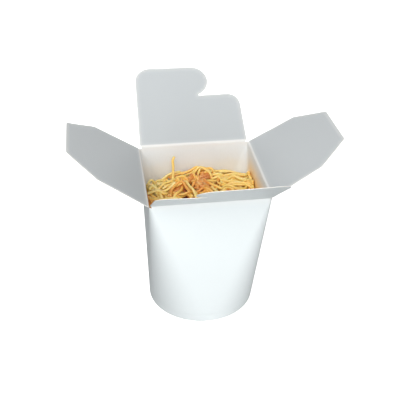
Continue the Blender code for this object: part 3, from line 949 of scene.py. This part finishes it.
def lay_noodles(settings, thick):
    """Deep noodles, top noodles, the rows, and the single ones."""
    draw = random.Random(settings.seed)
    strands = Strands(Heap(thick))
    radius = settings.radius
    for index in range(settings.deep_count):
        own_radius, length = radius * draw.uniform(*DEEP_RADIUS), draw.uniform(*DEEP_LENGTH) * MM
        strands.lay_best(draw, index, own_radius, length, DEEP_FULL)
    strands.heap.place_strips()
    for index in range(settings.top_count):
        own_radius, length = radius * draw.uniform(*TOP_RADIUS), draw.uniform(*TOP_LENGTH) * MM
        strands.lay_best(draw, index + TOP_FIRST, own_radius, length, TOP_FULL)
    for row in range(ROW_COUNT):
        shares = np.linspace(0, 1, ROW_POINTS)
        start = ROW_START[0] + draw.uniform(-ROW_SHIFT, ROW_SHIFT) * MM
        x = start + ROW_LENGTH * draw.uniform(*ROW_SHARES) * shares
        waves = ROW_WAVE * np.sin(ROW_WAVES * shares + ROW_PHASE * row)
        y = ROW_START[1] + ROW_SPACING * row - ROW_FALL * shares + waves - ROW_TURN * shares**ROW_TURN_POWER
        path = strands.heap.path_over(x, y, radius)
        strands.add(path, radius, draw.gauss(0, ROW_WARMTH_SPREAD), ROW_WARMTH)
    for warmth, points in LYING:
        x, y, _ = through([(*point, 0) for point in points]).T
        strands.add(strands.heap.path_over(x, y, radius), radius, 0.0, warmth)
    for warmth, points in STANDING:
        strands.add(through(points), radius, 0.0, warmth)
    return strands


def bed_mesh(thick):
    """What fills the box under the noodles that show, from the base up to a lumpy top."""
    order = columns()
    foot = HEM_HEIGHT + 2 * GAP + thick
    inset = thick + GAP
    edge = []
    for column in order:
        z = HEAP_LEVEL
        for _ in range(BED_PASSES):
            point = place_round(column, z, inset, RIM_HALF)
            z = float(swell(point.x, point.y)) - BED_DEPTH
        edge.append(place_round(column, z, inset, RIM_HALF))
    rings = [[place_round(c, foot, inset, RIM_HALF) for c in order], edge]
    for ring in range(1, BED_RINGS):
        share = 1 - ring / BED_RINGS
        rings.append([])
        for point in edge:
            x, y = point.x * share, point.y * share
            lump = BED_LUMP * noise.noise(Vector((x, y, 0)) * BED_LUMP_RATE)
            rings[-1].append(Vector((x, y, float(swell(x, y)) - BED_DEPTH + lump)))
    bm, first, last = lofted(rings, [0] * (len(rings) - 1))
    bmesh.ops.edgeloop_fill(bm, edges=first)
    bmesh.ops.edgeloop_fill(bm, edges=last)
    return mesh_of(bm, "noodle_bed", 60)


def noodle_material():
    """Oily fried noodle: pale to golden to browned by its warmth, darker where painted shade lies deep in the
    heap, specked, with a thin gloss of oil.
    """
    net = Net("fried_noodle")
    patches, specks = net.grain(90, 3.0), net.grain(900, 3.0)
    # Painted shade: noodles sunk under others are drawn browner and darker
    warmth = net.attribute("warmth") + net.attribute("sunk") * 0.16
    warmth = warmth + (patches - 0.5) * 0.5 + (specks - 0.5) * 0.12
    stops = [
        (0.0, linear((255, 234, 170))), (0.25, linear((255, 222, 136))), (0.45, linear((255, 208, 110))),
        (0.65, linear((244, 174, 84))), (0.85, linear((214, 124, 54))), (1.0, linear((156, 78, 32))),
    ]
    colour = net.node("ShaderNodeValToRGB", {"stops": stops}, {"Fac": warmth})
    wet = net.grain(160, 2.0)
    return net.finish({
        "Base Color": colour,
        "Roughness": 0.3 + wet * 0.28,
        "Coat Weight": (wet - 0.15).clamped(),
        "Coat Roughness": 0.16,
        "Subsurface Weight": 0.3,
        "Subsurface Radius": (1.0, 0.6, 0.3),
        "Subsurface Scale": 0.0025,
        "Normal": net.bump(patches + specks * 0.6, 0.5, 0.0005),
    })


def bed_material(settings):
    """Deep between the noodles: sauce and shadowed noodle."""
    net = Net("noodle_depths")
    lumps, specks = net.grain(260, 4.0), net.grain(1200, 2.0)
    colour = net.blended(lumps * 0.9 - 0.1, (*settings.bed, 1), linear((226, 152, 76)))
    return net.finish({
        "Base Color": colour,
        "Roughness": 0.35 + specks * 0.3,
        "Normal": net.bump(lumps + specks * 0.3, 0.6, 0.0012),
    })


# The browned strips

STRIP_SUBDIVISIONS = 5
STRIP_LUMPS = ((150, 1.5), (420, 1.5), (1100, 0.5))
STRIP_STRETCH = Vector((0.45, 1, 1))
STRIP_RIDGES, RIDGE_COUNT, RIDGE_TWIST = 0.38 * MM, 5, 160
RIDGE_WAVE, RIDGE_WAVE_RATE = 2, 150
STRIP_FIBRES, FIBRE_RATE, FIBRE_SLANT = 0.12 * MM, 5200, 0.4
FIBRE_WAVE, FIBRE_WAVE_RATE = 3, 300


def strip_mesh(name, place, half_sizes, turn):
    """A browned strip: a bent lozenge, lumpy, ridged along its length and finely fibrous."""
    x, y = place[0] * MM, place[1] * MM
    base = float(swell(x, y)) + STRIP_RAISED
    bm = bmesh.new()
    bmesh.ops.create_icosphere(bm, subdivisions=STRIP_SUBDIVISIONS, radius=1)
    cosine, sine = math.cos(math.radians(turn)), math.sin(math.radians(turn))
    for vert in bm.verts:
        squared = [math.copysign(abs(c) ** STRIP_SQUARENESS, c) for c in vert.co]
        along, across, up = [c * size * MM for c, size in zip(squared, half_sizes)]
        bend = STRIP_BEND * squared[0] ** 2
        point = Vector((along, across + bend, up - bend))
        seed = Vector((place[0], place[1], 0))
        push = sum(size * MM * noise.noise(point * STRIP_STRETCH * rate + seed) for rate, size in STRIP_LUMPS)
        round_angle = math.atan2(point.z, point.y) + RIDGE_TWIST * point.x
        ridge_wave = RIDGE_WAVE * noise.noise(point * RIDGE_WAVE_RATE + seed)
        push -= STRIP_RIDGES * abs(math.sin(RIDGE_COUNT / 2 * round_angle + ridge_wave))
        fibre_wave = FIBRE_WAVE * noise.noise(point * FIBRE_WAVE_RATE)
        push += STRIP_FIBRES * math.sin((point.y + FIBRE_SLANT * point.z) * FIBRE_RATE + fibre_wave)
        point += vert.co.normalized() * push
        vert.co = (
            x + point.x * cosine - point.y * sine,
            y + point.x * sine + point.y * cosine,
            base + point.z,
        )
    return mesh_of(bm, name, 180)


def browned_material(settings):
    """Browned and thinly sauced: pale flecks, darker seared patches, and a fibrous grain."""
    net = Net("browned_strip")
    patches, spots = net.grain(140, 4.0, distortion=0.4), net.grain(420, 3.0)
    fibres = net.grain(900, 2.0, net.scaled((0.35, 1, 1)))
    seared = net.band(patches, 0.50, 0.66)
    pale = net.band(spots, 0.45, 0.65)
    colour = net.blended(pale * 0.7, (*settings.browned, 1), linear((255, 212, 132)))
    colour = net.blended(seared * 0.6, colour, linear((184, 100, 42)))
    return net.finish({
        "Base Color": colour,
        "Roughness": 0.3 + spots * 0.25,
        "Coat Weight": (0.2 + patches * 0.5).clamped(),
        "Coat Roughness": 0.22,
        "Subsurface Weight": 0.1,
        "Subsurface Radius": (1.0, 0.4, 0.2),
        "Subsurface Scale": 0.001,
        "Normal": net.bump(fibres + spots * 0.5, 0.4, 0.0005),
    })


# Operators


class NOODLEBOX_OT_wall(bpy.types.Operator):
    """Build the wrapped wall and finish the base"""

    bl_idname = "noodlebox.wall"
    bl_label = "Wall and base"

    def execute(self, context):
        board = context.scene.noodle_board
        materials = board_materials(board)
        wall = piece(wall_mesh(board), materials)
        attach(wall, "box")
        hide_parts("wall")
        base = frame["nodes"]["base"]
        base.material_slots[0].material = board_edge(board)
        return {"FINISHED"}


class NOODLEBOX_OT_flaps(bpy.types.Operator):
    """Build the four flaps, each bent over its crease"""

    bl_idname = "noodlebox.flaps"
    bl_label = "Flaps"

    def execute(self, context):
        board = context.scene.noodle_board
        materials = board_materials(board)
        for side in SIDE_TURN:
            flap_piece(side, board, materials)
        return {"FINISHED"}


class NOODLEBOX_OT_noodles(bpy.types.Operator):
    """Lay the noodles on their bed"""

    bl_idname = "noodlebox.noodles"
    bl_label = "Noodles"

    def execute(self, context):
        settings = context.scene.noodle_filling
        thick = context.scene.noodle_board.thickness
        strands = lay_noodles(settings, thick)
        laid = piece(strands.mesh("noodle_strands"), [noodle_material()])
        bed = piece(bed_mesh(thick), [bed_material(settings)])
        for made in (laid, bed):
            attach(made, "box")
            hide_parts("noodles")
        return {"FINISHED"}


class NOODLEBOX_OT_strips(bpy.types.Operator):
    """Build the browned strips that lie among the noodles"""

    bl_idname = "noodlebox.strips"
    bl_label = "Browned strips"

    def execute(self, context):
        material = browned_material(context.scene.noodle_filling)
        for number, (place, half_sizes, turn) in enumerate(STRIPS, 1):
            made = piece(strip_mesh(f"strip_{number}", place, half_sizes, turn), [material])
            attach(made, "box")
            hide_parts(f"browned_strip_{number}")
        return {"FINISHED"}


# The floor and backdrop are one drum with no top
FLOOR_RADIUS, FLOOR_SIDES, BACKDROP_HEIGHT = 8.0, 64, 8.0
LIT_POINT = Vector((0, 0, 0.1))
LIGHT_DISTANCE, LIGHT_SIZE = 1.2, 0.8
# The lights beside the main one: the setting with its power, then its turn and height in degrees
LIGHTS = {"fill": (0, 6), "side": (-78, 62), "left": (-50, 35), "right": (35, 8), "back": (180, 4)}


def soft_light(context, name, power, azimuth, elevation):
    """A soft round light that looks at the box from this side and height."""
    lamp = bpy.data.lights.new(f"{name}_light", "AREA")
    lamp.shape, lamp.size, lamp.energy = "DISK", LIGHT_SIZE, power
    light = bpy.data.objects.new(lamp.name, lamp)
    swung = Matrix.Rotation(azimuth, 3, "Z") @ Matrix.Rotation(-elevation, 3, "X")
    away = swung @ Vector((0, -LIGHT_DISTANCE, 0))
    light.location = LIT_POINT + away
    light.rotation_euler = away.to_track_quat("Z", "Y").to_euler()
    context.scene.collection.objects.link(light)


class NOODLEBOX_OT_stage(bpy.types.Operator):
    """Set the floor and backdrop, the soft light and the camera"""

    bl_idname = "noodlebox.stage"
    bl_label = "Stage"

    def execute(self, context):
        stage = context.scene.noodle_stage
        bm = bmesh.new()
        bmesh.ops.create_cone(
            bm, cap_ends=True, segments=FLOOR_SIDES, radius1=FLOOR_RADIUS, radius2=FLOOR_RADIUS,
            depth=BACKDROP_HEIGHT,
        )
        bmesh.ops.translate(bm, verts=bm.verts, vec=(0, 0, BACKDROP_HEIGHT / 2))
        bmesh.ops.delete(bm, geom=[f for f in bm.faces if f.normal.z > 0.5], context="FACES_ONLY")
        bmesh.ops.reverse_faces(bm, faces=bm.faces)
        mesh = bpy.data.meshes.new("floor")
        bm.to_mesh(mesh)
        bm.free()
        net = Net("pale_floor")
        tone = net.blended(net.grain(3, 3.0) * 0.3, (*stage.floor, 1), linear((244, 244, 244)))
        floor = piece(mesh, [net.finish({
            "Base Color": tone, "Roughness": 0.8,
            "Emission Color": (1, 1, 1, 1), "Emission Strength": stage.glow,
        })])
        # Its glow is for the camera alone, so that it doesn't light the box
        floor.visible_diffuse = floor.visible_glossy = floor.visible_shadow = False

        world = bpy.data.worlds.new("studio")
        world.use_nodes = True
        background = world.node_tree.nodes["Background"]
        background.inputs["Color"].default_value = (1, 1, 1, 1)
        background.inputs["Strength"].default_value = stage.sky
        context.scene.world = world

        soft_light(context, "main", stage.key, stage.key_azimuth, stage.key_elevation)
        for name, angles in LIGHTS.items():
            soft_light(context, name, getattr(stage, name), *map(math.radians, angles))

        camera_data = bpy.data.cameras.new("camera")
        camera_data.lens, camera_data.sensor_width = stage.lens, 36
        camera_data.clip_start = 0.01
        camera = bpy.data.objects.new("camera", camera_data)
        camera.matrix_world = (
            Matrix.Translation(stage.place) @ Matrix.Rotation(stage.azimuth, 4, "Z")
            @ Matrix.Rotation(math.pi / 2 - stage.elevation, 4, "X") @ Matrix.Rotation(stage.roll, 4, "Z")
        )
        context.scene.collection.objects.link(camera)
        context.scene.camera = camera
        context.scene.view_settings.view_transform = "Standard"
        return {"FINISHED"}


class NOODLEBOX_PT_sidebar(bpy.types.Panel):
    """The noodle box's settings and builders"""

    bl_idname = "NOODLEBOX_PT_sidebar"
    bl_label = "Noodle Box"
    bl_space_type = "VIEW_3D"
    bl_region_type = "UI"
    bl_category = "Noodle Box"

    def draw(self, context):
        scene = context.scene
        for group, operators in (
            (scene.noodle_board, (NOODLEBOX_OT_wall, NOODLEBOX_OT_flaps)),
            (scene.noodle_filling, (NOODLEBOX_OT_noodles, NOODLEBOX_OT_strips)),
            (scene.noodle_stage, (NOODLEBOX_OT_stage,)),
        ):
            box = self.layout.box()
            for name in group.__annotations__:
                box.prop(group, name)
            for operator in operators:
                box.operator(operator.bl_idname)


SETTINGS = {
    "noodle_board": BoardSettings, "noodle_filling": NoodleSettings, "noodle_stage": StageSettings,
}
OPERATORS = (
    NOODLEBOX_OT_wall, NOODLEBOX_OT_flaps, NOODLEBOX_OT_noodles, NOODLEBOX_OT_strips, NOODLEBOX_OT_stage,
)


def register():
    for made in (*SETTINGS.values(), *OPERATORS, NOODLEBOX_PT_sidebar):
        bpy.utils.register_class(made)
    for name, group in SETTINGS.items():
        setattr(bpy.types.Scene, name, bpy.props.PointerProperty(type=group))


def unregister():
    for name in SETTINGS:
        delattr(bpy.types.Scene, name)
    for made in reversed((*SETTINGS.values(), *OPERATORS, NOODLEBOX_PT_sidebar)):
        bpy.utils.unregister_class(made)


def main():
    """Build the whole model."""
    register()
    bpy.ops.noodlebox.wall()
    bpy.ops.noodlebox.flaps()
    bpy.ops.noodlebox.noodles()
    bpy.ops.noodlebox.strips()
    bpy.ops.noodlebox.stage()


if __name__ == "__main__":
    main()
